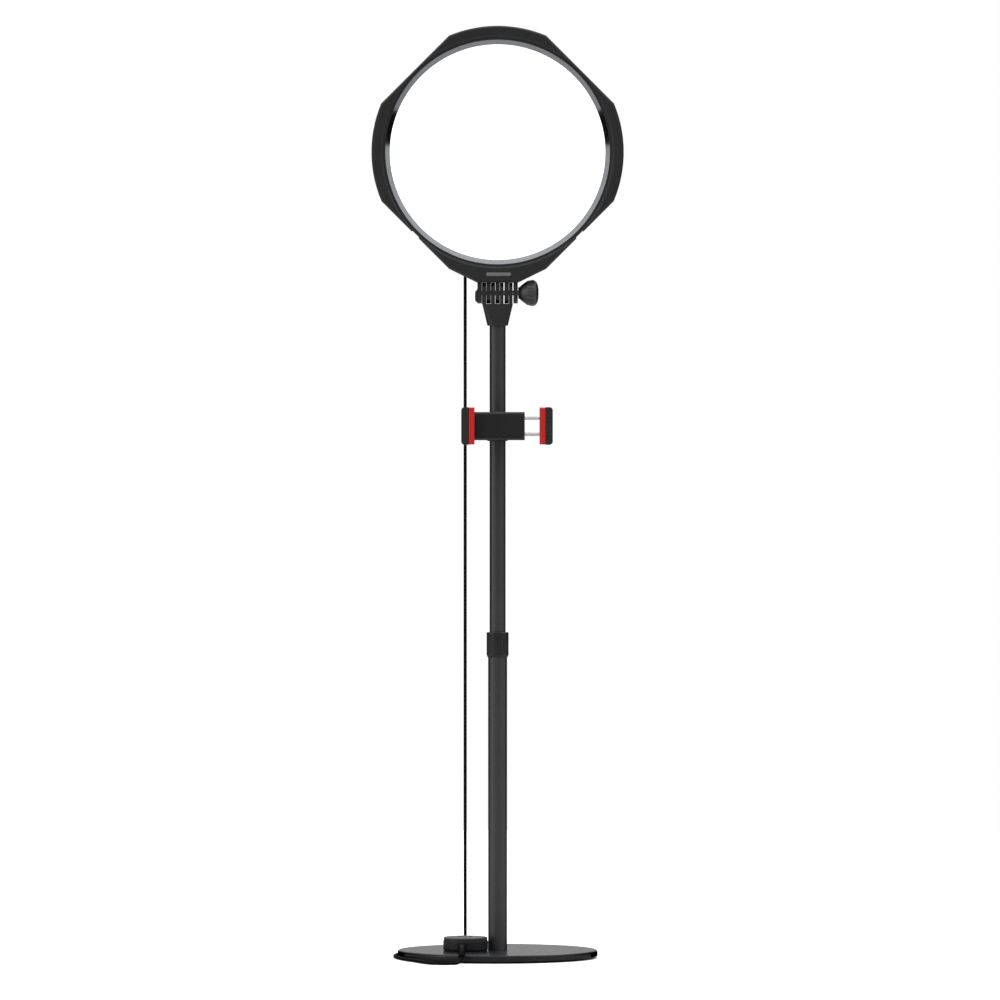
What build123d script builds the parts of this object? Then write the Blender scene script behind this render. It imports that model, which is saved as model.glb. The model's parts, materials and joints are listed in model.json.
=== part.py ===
from build123d import *
import math
import os

# LED ring light on a weighted round base, with a telescopic pole, a phone grip and a wired remote.
# Millimetres. +X is to the right seen from the front, -Y is the front, +Z is up.
# The origin is the centre of the base's underside.

# ---- base and pole ----
BASE_R = 100.0
BASE_TOP = 8.0
PAD_R = 95.0
PAD_THICK = 1.6
BASE_EDGE = 2.2
LOWER_R = 9.5
UPPER_R = 8.0
TUBE_WALL = 0.8
LOWER_TOP = 312.0
UPPER_FOOT = 232.0
UPPER_TOP = 646.0
BUSH_TOP = 262.0
COLLAR_R = 11.0
COLLAR_FOOT = 300.3
COLLAR_TOP = 325.3
COLLAR_FLUTES = 20
RUN_FIT = 0.05            # radial clearance of a running fit
FIXED_GAP = 0.02          # radial clearance of pieces that are fixed together

# ---- tilt joint between pole and head ----
HINGE_Z = 664.5
KNUCKLE_DEPTH = 8.7       # half depth of all fingers, which are flat in front and behind
HEAD_FINGER_R = 10.5
POLE_FINGER_R = 10.3
HEAD_FINGER = 4.4
POLE_FINGERS = (4.3, 4.15, 3.65, 3.65)   # widths from left to right; the bolt pulls them all to the left
FINGER_GAP = 0.15
FINGER_PITCH = 9.0
KNUCKLE_HALF = 2 * FINGER_PITCH + HEAD_FINGER / 2
SHOULDER_Z = HINGE_Z - HEAD_FINGER_R - 0.4
SHOULDER_HALF = 15.1
ADAPTER_FOOT = 631.8
ADAPTER_FOOT_HALF = 10.5
TILT_BOLT_R = 2.5
NUT_CAP_DROP = 3.2

# ---- head; its local frame is x right, y up, z forward, about HEAD_Z ----
HEAD_Z = 805.0
HEAD_R = 126.0
HEAD_FLAT = 116.5
APRON_HALF = 20.6
APRON_FOOT = -129.9
BEZEL_FRONT = 13.0
BEZEL_BEVEL = 1.5
COVER_SEAM = -0.4
COVER_BACK = -13.0
COVER_BEVEL = 5.0
SHELL_WALL = 2.4
COVER_CAVITY_INSET = 5.6
LIP_R = 112.4
DIFFUSER_R = 113.0
TRIM_INNER_R = 107.6
GUIDE_R = 109.5
LED_COUNT = 48
SCREW_CIRCLE_R = 117.2
TONGUE_HALF = 18.4
TONGUE_DEPTH = 6.5
TONGUE_TOP = -119.5
TONGUE_SCREWS = ((-11.0, -123.6), (11.0, -123.6))
VENT_COUNT = 28
BOARD_POSTS = ((-35.0, -89.0), (4.0, -89.0), (-35.0, -65.0), (4.0, -65.0))

# ---- wired remote on the base ----
PUCK_X = -32.0
PUCK_Y = -18.0
PUCK_R = 22.25
PUCK_WALL_TOP = 19.5
PUCK_TOP = 22.0
PUCK_RIBS = 40
DIAL_BORE = 12.0
CAP_R = 11.95
PUCK_SCREW_R = 17.2
PUCK_SCREW_ANGLES = (30, 150, 210, 330)
BUTTON_OFFSETS = (-5.0, 5.0)
BUTTON_R = 2.6

# ---- cables ----
CABLE_R = 1.6
CABLE_X = -32.5
CABLE_Y = 17.5
CABLE_SPLIT_Z = 590.0
FRONT_RELIEF_X = -35.4
FRONT_RELIEF_Z = 12.3
FRONT_RELIEF_TIP = -76.0
FRONT_TAIL_R = 3.1
FRONT_TAIL_BORE_R = 1.75
FRONT_TAIL_CORNERS = 4
REAR_RELIEF_Z = 12.6
REAR_RELIEF_TIP = 12.0
HEAD_RELIEF_TOP = 709.0
HEAD_RELIEF_TIP = 684.0
FLOOR_CABLE_Z = 1.65
COIL_X = -32.0
COIL_Y = 139.0
COIL_MEAN_R = 17.0
COIL_PITCH = 3.25
COIL_COLUMNS = 4
COIL_LAYERS = 2
PLUG_X = 1.0
PLUG_Y = 141.5
PLUG_Z = 3.35

# ---- phone grip ----
GRIP_Z = 531.0
LINER_R = 9.3
CLAMP_R = 13.5
CLAMP_HALF_HEIGHT = 13.5
CLAMP_SPLIT = 0.4
CLAMP_LUG_X = 19.0
BALL_Y = -22.0
BALL_R = 6.5
GRIP_BACK = -34.0
GRIP_FRONT = -46.0
PHONE_BACK = -47.0
LIP_BACK = -55.0
LIP_FRONT = -59.0
PHONE_LEFT = -26.5
PHONE_RIGHT = 45.2
JAW_HALF_HEIGHT = 18.6
PAD_HALF_HEIGHT = 18.4
JAW_LIP = 3.6
ROD_Y = -40.0
ROD_OFFSET_Z = 8.0
ROD_R = 2.0
SPRING_BORE_R = 3.5
SPRING_TURNS = 13


# ======== helpers ========

def upright(radius, z0, z1, x=0.0, y=0.0):
    """A cylinder along Z between two heights."""
    return Pos(x, y, (z0 + z1) / 2) * Cylinder(radius, z1 - z0)


def ring(outer, inner, z0, z1, x=0.0, y=0.0):
    """An upright tube between two heights."""
    return upright(outer, z0, z1, x, y) - upright(inner, z0 - 1, z1 + 1, x, y)


def along_x(radius, x0, x1, y, z):
    """A cylinder along X."""
    return Pos((x0 + x1) / 2, y, z) * Rot(0, 90, 0) * Cylinder(radius, x1 - x0)


def along_y(radius, y0, y1, x, z):
    """A cylinder along Y."""
    return Pos(x, (y0 + y1) / 2, z) * Rot(90, 0, 0) * Cylinder(radius, y1 - y0)


def block(x0, x1, y0, y1, z0, z1):
    """A box between two corners."""
    return Pos((x0 + x1) / 2, (y0 + y1) / 2, (z0 + z1) / 2) * Box(x1 - x0, y1 - y0, z1 - z0)


def turned(points):
    """A solid of revolution about Z from (radius, height) corners."""
    outline = Polyline(*[(radius, 0, height) for radius, height in points], close=True)
    return revolve(make_face(outline), Axis.Z)


def forward(solid, x=0.0, y=0.0, z=0.0):
    """Lays a solid built along +Z so that its +Z points forward and its +Y points up."""
    return Pos(x, y, z) * Rot(90, 0, 0) * solid


def rightward(solid, y=0.0, z=0.0):
    """Lays a solid built along +Z so that its +Z points to the right."""
    return Pos(0, y, z) * Rot(0, 90, 0) * solid


def around(count, radius, item):
    """Copies of an item, set out on a circle about Z and turned with it."""
    step = 360.0 / count
    return [Rot(0, 0, step * i) * Pos(radius, 0, 0) * item for i in range(count)]


def cross_slot(radius, depth, z_top):
    """A Phillips recess to be cut from a screw head whose top is at z_top."""
    recess = Pos(0, 0, z_top) * (Box(radius, 0.7, 2 * depth) + Box(0.7, radius, 2 * depth))
    return recess


def screw(head_r, head_h, shank_r, length):
    """A pan-head screw along -Z: the head's top is at head_h, the shank runs down from 0."""
    head = upright(head_r, 0, head_h)
    head = fillet(head.edges().sort_by(Axis.Z)[-1:], head_h * 0.45)
    body = head + upright(shank_r, -length, 0.2)
    return body - cross_slot(head_r * 1.1, head_h * 0.5, head_h)


def cable_corners(points):
    """Corner radii of a cable's route: 0.45 of the shorter run over the tangent of half the turn."""
    radii = []
    for before, here, after in zip(points, points[1:], points[2:]):
        run_in = Vector(*here) - Vector(*before)
        run_out = Vector(*after) - Vector(*here)
        turn = math.radians(run_in.get_angle(run_out))
        radii.append(0.45 * min(run_in.length, run_out.length) / math.tan(turn / 2))
    return radii


def cable(name, points):
    """A round cable along straight runs joined by tangent arcs, with its figures printed."""
    radii = cable_corners(points)
    path = FilletPolyline(*points, radius=radii) if radii else Line(*points)
    start = Plane(origin=path @ 0, z_dir=path % 0)
    solid = sweep(start * Circle(CABLE_R), path=path)
    expected = math.pi * CABLE_R ** 2 * path.length
    smallest = min(radii) if radii else 0.0
    print(f"{name}: length {path.length:.1f}, volume ratio {solid.volume / expected:.4f}, "
          f"smallest radius {smallest:.1f}, radii {[round(r, 1) for r in radii]}")
    return solid


# ======== base ========

def base_plate():
    """Steel disc with a rounded top edge, a counterbored centre hole and the remote's screw holes."""
    plate = upright(BASE_R, PAD_THICK, BASE_TOP)
    plate = fillet(plate.edges().sort_by(Axis.Z)[-1:], BASE_EDGE)
    plate = chamfer(plate.edges().sort_by(Axis.Z)[:1], 0.6)
    plate -= upright(4.2, 0, 20)
    plate -= upright(7.4, 0, 5.6)
    for x, y in puck_screw_places():
        plate -= upright(1.7, 0, 20, x, y)
        plate -= upright(3.3, 0, 4.4, x, y)
    return plate


def base_foot_pad():
    """Rubber pad glued under the plate, open at the centre bolt and over the remote's screws."""
    pad = upright(PAD_R, 0, PAD_THICK) - upright(8.0, -1, 3)
    for x, y in puck_screw_places():
        pad -= upright(3.6, -1, 3, x, y)
    return pad


def base_bolt():
    """M8 low-head bolt that pulls the pole down on the plate."""
    head = upright(6.5, 2.2, 5.5)
    head = fillet(head.edges().sort_by(Axis.Z)[:1], 0.8)
    socket = Pos(0, 0, 2.2) * extrude(RegularPolygon(2.9, 6), amount=2.0)
    return head + upright(3.98, 5.4, 23.0) - socket


def tube_foot_plug():
    """Threaded steel plug fixed in the lower tube's foot."""
    return ring(LOWER_R - TUBE_WALL - FIXED_GAP, 4.0 + FIXED_GAP, BASE_TOP, 26.0)


def lower_tube():
    return ring(LOWER_R, LOWER_R - TUBE_WALL, BASE_TOP, LOWER_TOP)


def lock_ferrule():
    """Split bush in the mouth of the lower tube, squeezed by the collar; it guides the upper tube."""
    outer = LOWER_R - TUBE_WALL - RUN_FIT
    inner = UPPER_R + RUN_FIT
    bush = turned([(inner, BUSH_TOP + 1), (outer, BUSH_TOP + 1), (outer, LOWER_TOP + 0.02),
                   (LOWER_R - 0.1, LOWER_TOP + 0.02), (LOWER_R - 0.1, LOWER_TOP + 2), (inner, LOWER_TOP + 2)])
    for angle in (0, 90, 180, 270):
        bush -= Rot(0, 0, angle) * block(inner - 1, LOWER_R + 1, -0.5, 0.5, LOWER_TOP - 14, LOWER_TOP + 3)
    return bush


# ======== twist lock ========

def lock_collar():
    """Fluted twist-lock sleeve over the tube joint."""
    lip = UPPER_R + 0.4
    bore = LOWER_R + 0.12
    collar = turned([(bore, COLLAR_FOOT), (LOWER_R + 0.5, COLLAR_FOOT), (COLLAR_R, COLLAR_FOOT + 2.4),
                     (COLLAR_R, COLLAR_TOP - 0.5), (COLLAR_R - 0.5, COLLAR_TOP), (lip, COLLAR_TOP),
                     (lip, LOWER_TOP + 10.5), (bore, LOWER_TOP + 10.5)])
    groove = Pos(0, 0, 313.5) * Cylinder(0.8, 17)
    for cut in around(COLLAR_FLUTES, COLLAR_R + 0.5, groove):
        collar -= cut
    return collar


# ======== upper pole ========

def upper_tube():
    return ring(UPPER_R, UPPER_R - TUBE_WALL, UPPER_FOOT, UPPER_TOP)


def slide_bush():
    """Plastic bush on the upper tube's foot that runs in the lower tube."""
    outer = LOWER_R - TUBE_WALL - RUN_FIT
    inner = UPPER_R + FIXED_GAP
    return turned([(6.6, UPPER_FOOT - 3), (outer, UPPER_FOOT - 3), (outer, BUSH_TOP),
                   (inner, BUSH_TOP), (inner, UPPER_FOOT - 0.1), (6.6, UPPER_FOOT - 0.1)])


def pole_finger_spans():
    """Left and right faces of the pole's fingers, each close to the head's finger on its left."""
    spans = []
    for i, width in enumerate(POLE_FINGERS):
        low = FINGER_PITCH * (i - 2) + HEAD_FINGER / 2 + FINGER_GAP
        spans.append((low, low + width))
    return spans


def finger(low, high, radius, z_end):
    """A hinge finger: round about the bolt, flat in front and behind, and carried on to z_end."""
    rounded = along_x(radius, low, high, 0, HINGE_Z)
    rounded = rounded & block(low - 1, high + 1, -KNUCKLE_DEPTH, KNUCKLE_DEPTH, HINGE_Z - 20, HINGE_Z + 20)
    stem = block(low, high, -KNUCKLE_DEPTH, KNUCKLE_DEPTH, min(HINGE_Z, z_end), max(HINGE_Z, z_end))
    return rounded + stem


def pole_head():
    """Adapter on the pole's top: a flared socket with four hinge fingers."""
    foot_width = 2 * ADAPTER_FOOT_HALF
    foot = Plane.XY.offset(ADAPTER_FOOT + 1.2) * RectangleRounded(foot_width, foot_width, 9)
    top = Plane.XY.offset(SHOULDER_Z - 1) * RectangleRounded(2 * SHOULDER_HALF, 2 * KNUCKLE_DEPTH, 4)
    body = loft([foot, top])
    body += extrude(top, amount=1.0)
    body += extrude(foot, amount=-1.2)
    body = fillet(body.edges().group_by(Axis.Z)[0], 1.0)
    for low, high in pole_finger_spans():
        body += finger(low, high, POLE_FINGER_R, SHOULDER_Z - 0.5)
    body -= along_x(TILT_BOLT_R + RUN_FIT, -20, 20, 0, HINGE_Z)
    body -= upright(UPPER_R + FIXED_GAP, ADAPTER_FOOT - 1, UPPER_TOP + 0.1)
    body -= along_y(2.0 + FIXED_GAP, 0, 20, 0, 639.0)
    return body


def pole_grub_screw():
    """M4 grub screw that holds the adapter on the tube."""
    thread = along_y(2.0, UPPER_R + 0.05, 10.2, 0, 639.0)
    socket = forward(extrude(RegularPolygon(1.15, 6), amount=1.5), 0, 10.2, 639.0)
    return thread - socket


# ======== head ========

def rim_point(angle):
    return (HEAD_R * math.cos(math.radians(angle)), HEAD_R * math.sin(math.radians(angle)))


def head_outline():
    """Circle with four flats on the diagonals and an apron that narrows to the hinge."""
    lean = math.degrees(math.acos(HEAD_FLAT / HEAD_R))
    half = 45.0 - lean
    arcs = [ThreePointArc(rim_point(mid + half), rim_point(mid), rim_point(mid - half))
            for mid in (90, 0, 180)]
    flats = [Line(rim_point(90 - half), rim_point(half)),
             Line(rim_point(-half), rim_point(half - 90)),
             Line(rim_point(180 + half), rim_point(270 - half)),
             Line(rim_point(180 - half), rim_point(90 + half))]
    apron = Polyline(rim_point(half - 90), (APRON_HALF, APRON_FOOT), (-APRON_HALF, APRON_FOOT),
                     rim_point(270 - half))
    return make_face(Curve() + arcs + flats + apron)


def flat_notches(low, high):
    """The two shallow notches in the middle of the lower flats."""
    notch = block(HEAD_FLAT - 1, HEAD_FLAT + 3, -5, 5, low, high)
    return [Rot(0, 0, angle) * notch for angle in (225, 315)]


def tongue_slot(low, high):
    """The room for the hinge's tongue in the apron's foot."""
    return block(-TONGUE_HALF - 0.2, TONGUE_HALF + 0.2, APRON_FOOT - 2, TONGUE_TOP, low, high)


def screw_places():
    """Centres of the eight screws behind the corners of the outline."""
    lean = math.degrees(math.acos(HEAD_FLAT / HEAD_R))
    angles = [quarter + side * lean for quarter in (45, 135, 225, 315) for side in (-1, 1)]
    return [(SCREW_CIRCLE_R * math.cos(math.radians(a)), SCREW_CIRCLE_R * math.sin(math.radians(a)))
            for a in angles]


def shell_cavity(inset, low, high, boss_r):
    """The hollow of a shell: the outline pulled in, less the screw bosses."""
    hollow = extrude(Plane.XY.offset(low) * offset(head_outline(), amount=-inset), amount=high - low)
    for x, y in list(screw_places()) + list(TONGUE_SCREWS):
        hollow -= upright(boss_r, low - 1, high + 1, x, y)
    return hollow


def shell_blank(low, high, bevel):
    """The outline made solid between two heights, bevelled at the upper one."""
    wide = head_outline()
    narrow = offset(wide, amount=-bevel)
    lower = extrude(Plane.XY.offset(low) * wide, amount=high - bevel - low)
    return lower + loft([Plane.XY.offset(high - bevel) * wide, Plane.XY.offset(high) * narrow])


def front_bezel():
    """Front shell: outer wall, recessed lip round the light panel, locating ring and screw bosses."""
    shell = shell_blank(0, BEZEL_FRONT, BEZEL_BEVEL)
    cavity = shell_cavity(SHELL_WALL, 0, 10.6, 3.4)
    shell -= cavity - ring(115.0, DIFFUSER_R + 0.4, -1, 12)
    shell -= upright(LIP_R, -1, 20)
    shell -= turned([(0, 11.6), (114.6, 11.6), (114.6, 12.2), (116.5, 13.01), (116.5, 15), (0, 15)])
    for x, y in screw_places():
        shell -= upright(1.5, -1, 8.5, x, y)
    shell -= tongue_slot(-1, TONGUE_DEPTH + 0.2)
    for cut in flat_notches(-1, 20):
        shell -= cut
    return forward(shell, z=HEAD_Z)


def trim_ring():
    """Bright conical ring between the lip and the lit panel."""
    return forward(turned([(TRIM_INNER_R, 8.25), (DIFFUSER_R + 0.2, 8.25), (DIFFUSER_R + 0.2, 10.4),
                           (LIP_R - 0.2, 10.4), (LIP_R - 0.2, 11.2), (TRIM_INNER_R, 8.6)]), z=HEAD_Z)


def diffuser():
    """Opal panel that spreads the light."""
    return forward(upright(DIFFUSER_R, 6.6, 8.15), z=HEAD_Z)


def light_guide():
    """Clear disc lit at its edge by the LEDs."""
    return forward(upright(GUIDE_R, 3.5, 6.4), z=HEAD_Z)


def reflector_sheet():
    """White sheet behind the light guide."""
    return forward(upright(111.2, 2.95, 3.3), z=HEAD_Z)


def led_strip():
    """Flexible board standing round the guide's edge, with its LEDs facing inward."""
    strip = ring(111.35, 111.0, 3.6, 6.3)
    chip = Pos(-0.35, 0, 4.95) * Box(0.65, 2.8, 2.2)
    chips = around(LED_COUNT, 111.0, chip)
    return forward(Compound([strip.solid()] + [c.solid() for c in chips]), z=HEAD_Z)


def heat_tray():
    """Aluminium dish that backs the panel and carries the LED strip's heat."""
    return forward(turned([(0, 1.3), (DIFFUSER_R + 0.2, 1.3), (DIFFUSER_R + 0.2, 6.5), (111.45, 6.5),
                           (111.45, 2.85), (0, 2.85)]), z=HEAD_Z)


def rear_cover():
    """Back shell with a chamfered edge, vents, screw holes and the opening for the cable housing."""
    shell = Rot(0, 180, 0) * shell_blank(-COVER_SEAM, -COVER_BACK, COVER_BEVEL)
    shell -= shell_cavity(SHELL_WALL, -6.8, COVER_SEAM + 1, 4.4)
    shell -= shell_cavity(COVER_CAVITY_INSET, -10.6, -6.7, 4.4)
    for x, y in screw_places():
        shell -= upright(1.7, -20, 1, x, y)
        shell -= upright(3.0, -20, -6.0, x, y)
    shell -= tongue_slot(-TONGUE_DEPTH - 0.2, 1)
    for x, y in TONGUE_SCREWS:
        shell -= upright(1.7, -20, 1, x, y)
        shell -= upright(3.0, -20, -9.0, x, y)
    for x, y in BOARD_POSTS:
        shell += upright(2.2, -10.8, -6.65, x, y)
    slot = Box(16, 2.2, 8) + Pos(8, 0, 0) * Cylinder(1.1, 8) + Pos(-8, 0, 0) * Cylinder(1.1, 8)
    for cut in around(VENT_COUNT, 62, Pos(0, 0, -12) * slot):
        shell -= cut
    shell -= ring(92.0, 90.4, -14, -12.3)
    shell -= upright(38.0, -14, -12.4)
    shell -= upright(1.8, -20, 1, CABLE_X, 710.8 - HEAD_Z)
    for cut in flat_notches(-20, 1):
        shell -= cut
    return forward(shell, z=HEAD_Z)


def head_screws():
    """Ten M3 screws: eight join the shells, two hold the hinge tongue."""
    one = Rot(180, 0, 0) * screw(2.75, 1.9, 1.45, 13.5)
    shells = [Pos(x, y, -6.05) * one for x, y in screw_places()]
    tongue = [Pos(x, y, -9.05) * one for x, y in TONGUE_SCREWS]
    return forward(Compound([s.solid() for s in shells + tongue]), z=HEAD_Z)


def driver_board():
    """LED driver board with its coil, capacitors and chip, in the back shell."""
    x0 = CABLE_X - 6
    board = block(x0, x0 + 46, -92, -62, -6.6, -5.4)
    inductor = upright(4.5, -5.5, -1.6, x0 + 12, -75)
    chip = block(x0 + 20, x0 + 27, -80, -73, -5.5, -4.0)
    caps = [upright(2.4, -5.5, -0.9, x0 + 34, y) for y in (-70, -78)]
    header = block(x0 + 2, x0 + 9, -90, -85, -5.5, -1.5)
    body = board + inductor + chip + header
    for cap in caps:
        body += cap
    return forward(body, z=HEAD_Z)


def head_finger_centres():
    return [FINGER_PITCH * step for step in (-2, -1, 0, 1, 2)]


def tilt_knuckle():
    """Five hinge fingers on a tongue that is screwed between the two shells."""
    foot = HEAD_Z + APRON_FOOT - 0.05
    body = block(-TONGUE_HALF, TONGUE_HALF, -TONGUE_DEPTH, TONGUE_DEPTH, foot, HEAD_Z + TONGUE_TOP - 0.3)
    for x in head_finger_centres():
        body += finger(x - HEAD_FINGER / 2, x + HEAD_FINGER / 2, HEAD_FINGER_R, foot)
    body -= along_x(TILT_BOLT_R + RUN_FIT, -30, 30, 0, HINGE_Z)
    body -= along_x(4.25, -30, -17.2, 0, HINGE_Z)
    for x, y in TONGUE_SCREWS:
        body -= along_y(1.5, -10, 10, x, HEAD_Z + y)
    return body


def dome_nut():
    """Captive nut in the left outer finger under a domed cap that reaches lower than the bolt."""
    face = KNUCKLE_HALF + FIXED_GAP
    cap = turned([(0, face), (6.2, face), (6.2, face + 0.7), (5.4, face + 1.7), (3.6, face + 2.3),
                  (0, face + 2.4)])
    nut = Pos(-NUT_CAP_DROP, 0, 0) * cap + upright(4.2, 17.3, face + 0.3)
    nut -= upright(TILT_BOLT_R + RUN_FIT, 17, face + 0.5)
    return Pos(0, 0, HINGE_Z) * Rot(0, -90, 0) * nut


def tilt_bolt():
    """M5 bolt through the fingers, moulded into the knob."""
    bolt = along_x(TILT_BOLT_R, -20.3, 33.0, 0, HINGE_Z)
    bolt = chamfer(bolt.edges().sort_by(Axis.X)[:1], 0.6)
    hexagon = rightward(Pos(0, 0, 28.0) * extrude(RegularPolygon(4.4, 6), amount=4.0), z=HINGE_Z)
    return bolt + hexagon


def tilt_knob():
    """Flared and fluted locking knob."""
    profile = [(TILT_BOLT_R + FIXED_GAP, 20.55), (5.7, 20.55), (5.7, 21.5), (8.4, 24.6), (12.1, 29.6),
               (13.1, 34.6), (12.9, 36.6), (11.6, 38.6), (8.0, 40.3), (4.0, 40.9), (0, 41.0), (0, 33.1),
               (TILT_BOLT_R + FIXED_GAP, 33.1)]
    knob = turned(profile)
    knob -= Pos(0, 0, 27.9) * extrude(RegularPolygon(4.45, 6), amount=4.2)
    groove = Pos(0, 0, 32.5) * Rot(0, 11.0, 0) * Cylinder(1.0, 9.5)
    for cut in around(20, 13.2, groove):
        knob -= cut
    return rightward(knob, z=HINGE_Z)


def gland_housing():
    """Small housing on the back where the cable leaves the head."""
    body = block(CABLE_X - 6.5, CABLE_X + 6.5, -COVER_BACK + 0.02, 22.0, 703.0, 722.0)
    body = fillet(body.edges().filter_by(Axis.Y), 2.5)
    body = fillet(body.faces().sort_by(Axis.Y)[-1].edges(), 1.2)
    body -= upright(2.45, 700, 713, CABLE_X, CABLE_Y)
    body -= upright(3.25, HEAD_RELIEF_TOP - 1.4, HEAD_RELIEF_TOP + 0.4, CABLE_X, CABLE_Y)
    body -= along_y(1.8, 10, CABLE_Y, CABLE_X, 710.8)
    return body


def relief(neck_end, length, body_r, tip_r, ribs):
    """Tapered and grooved strain relief along +Z, with a flange and a neck that sit in a wall."""
    points = [(0, 0), (3.2, 0), (3.2, 1.3), (2.4, 1.3), (2.4, neck_end), (body_r, neck_end)]
    step = (length - neck_end - 3.0) / ribs
    for i in range(ribs):
        z = neck_end + 2.0 + step * i
        r = body_r + (tip_r - body_r) * i / ribs
        points += [(r, z), (r - 0.55, z + 0.05), (r - 0.55, z + 0.75), (r, z + 0.8)]
    points += [(tip_r, length), (0, length)]
    return turned(points)


def head_strain_relief():
    """Tapered rubber relief that points straight down from the housing."""
    top = HEAD_RELIEF_TOP
    return Pos(CABLE_X, CABLE_Y, top) * Rot(180, 0, 0) * relief(6.15, top - HEAD_RELIEF_TIP, 3.2, 2.2, 4)


# ======== wired remote ========

def puck_screw_places():
    places = []
    for angle in PUCK_SCREW_ANGLES:
        turn = math.radians(angle)
        places.append((PUCK_X + PUCK_SCREW_R * math.cos(turn), PUCK_Y + PUCK_SCREW_R * math.sin(turn)))
    return places


def at_puck(solid):
    return Pos(PUCK_X, PUCK_Y, 0) * solid


def puck_shell():
    """Fluted side wall of the remote with a hole at each cable."""
    wall = turned([(20.2, BASE_TOP + 0.02), (21.2, BASE_TOP + 0.02), (PUCK_R - 0.2, 9.4), (PUCK_R, 11.0),
                   (PUCK_R, 17.6), (PUCK_R - 0.4, 18.8), (PUCK_R - 0.9, PUCK_WALL_TOP),
                   (20.2, PUCK_WALL_TOP)])
    rib_gap = Pos(0, 0, 14.2) * Cylinder(0.75, 7.6)
    for cut in around(PUCK_RIBS, PUCK_R + 0.35, rib_gap):
        wall -= cut
    wall = at_puck(wall)
    wall -= along_y(2.6, -50, PUCK_Y, FRONT_RELIEF_X, FRONT_RELIEF_Z)
    wall -= along_y(2.6, PUCK_Y, 10, CABLE_X, REAR_RELIEF_Z)
    return wall


def puck_floor():
    """Floor of the remote with four screw posts."""
    floor = upright(20.0, BASE_TOP + 0.02, 9.0, PUCK_X, PUCK_Y)
    for x, y in puck_screw_places():
        floor += upright(2.6, 8.5, 15.0, x, y)
    for x, y in puck_screw_places():
        floor -= upright(1.3, 0, 14.0, x, y)
    return floor


def puck_screws():
    """Four screws that hold the remote on the base plate."""
    one = Rot(180, 0, 0) * screw(2.8, 1.8, 1.25, 9.0)
    return Compound([(Pos(x, y, 4.35) * one).solid() for x, y in puck_screw_places()])


def puck_board():
    """Round board with the two switches and the dial's encoder."""
    board = upright(13.6, 9.4, 10.6) + ring(11.0, 8.6, 10.5, 11.0)
    for x in BUTTON_OFFSETS:
        board += Pos(x, 0, 12.4) * Box(5.8, 6.0, 3.8)
        board += upright(1.4, 14.2, 16.6, x, 0)
    return at_puck(board)


def puck_cap():
    """Fixed centre cap with the two button holes; the dial turns round it."""
    cap = turned([(10.6, 11.1), (13.4, 11.1), (13.4, 12.6), (CAP_R, 12.6), (CAP_R, 21.6),
                  (CAP_R - 0.4, PUCK_TOP), (0, PUCK_TOP), (0, 20.4), (10.6, 20.4)])
    for x in BUTTON_OFFSETS:
        cap -= upright(BUTTON_R + 0.15, 15, 30, x, 0)
    return at_puck(cap)


def dial_ring():
    """Brightness dial: a flat ring with a guide skirt and a finely notched edge."""
    dial = turned([(DIAL_BORE, 13.0), (13.4, 13.0), (13.4, 19.7), (21.9, 19.7), (21.9, 20.9), (20.9, 21.7),
                   (19.9, PUCK_TOP), (12.6, PUCK_TOP), (DIAL_BORE, 21.6)])
    notch = Pos(0, 0, 20.5) * Cylinder(0.35, 3)
    for cut in around(60, 22.0, notch):
        dial -= cut
    return at_puck(dial)


def push_button(x):
    """A round button with a stem that stops just over its switch."""
    button = turned([(0, 17.3), (1.3, 17.3), (1.3, 19.6), (3.4, 19.6), (3.4, 20.0), (BUTTON_R, 20.0),
                     (BUTTON_R, 22.1), (2.1, 22.5), (0, 22.5)])
    return at_puck(Pos(x, 0, 0) * button)


def power_button():
    return push_button(BUTTON_OFFSETS[0])


def mode_button():
    return push_button(BUTTON_OFFSETS[1])


def front_relief_tail():
    """Soft sleeve round the lead's first bends, which hangs over the base's rim."""
    corners = POWER_LEAD_ROUTE[:FRONT_TAIL_CORNERS + 2]
    end = (Vector(*corners[-2]) + Vector(*corners[-1])) / 2
    path = FilletPolyline(*corners[:-1], tuple(end), radius=cable_corners(corners))
    start = Plane(origin=path @ 0, z_dir=path % 0)
    section = start * (Circle(FRONT_TAIL_R) - Circle(FRONT_TAIL_BORE_R))
    return sweep(section, path=path)


def front_strain_relief():
    """Ribbed relief of the USB lead, pointing forward over the base, with its soft tail."""
    inner_end = -33.6
    solid = relief(7.1, inner_end - FRONT_RELIEF_TIP, 3.75, FRONT_TAIL_R, 7)
    return forward(solid, FRONT_RELIEF_X, inner_end, FRONT_RELIEF_Z) + front_relief_tail()


def rear_strain_relief():
    """Short relief of the head's cable, pointing backward."""
    inner_end = -0.1
    solid = relief(4.8, REAR_RELIEF_TIP - inner_end, 3.2, 2.4, 2)
    return Pos(CABLE_X, inner_end, REAR_RELIEF_Z) * Rot(-90, 0, 0) * solid


# ======== cables ========

HEAD_LEAD_ROUTE = [
    (CABLE_X, CABLE_Y, CABLE_SPLIT_Z),
    (CABLE_X, CABLE_Y, 100.0),
    (CABLE_X, 18.6, 80.0),
    (CABLE_X, 22.5, 60.0),
    (CABLE_X, 27.2, 44.5),
    (CABLE_X, 29.8, 33.0),
    (CABLE_X, 30.0, 23.0),
    (CABLE_X, 26.6, 16.4),
    (CABLE_X, 20.4, REAR_RELIEF_Z),
    (CABLE_X, REAR_RELIEF_TIP, REAR_RELIEF_Z),
]

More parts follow.
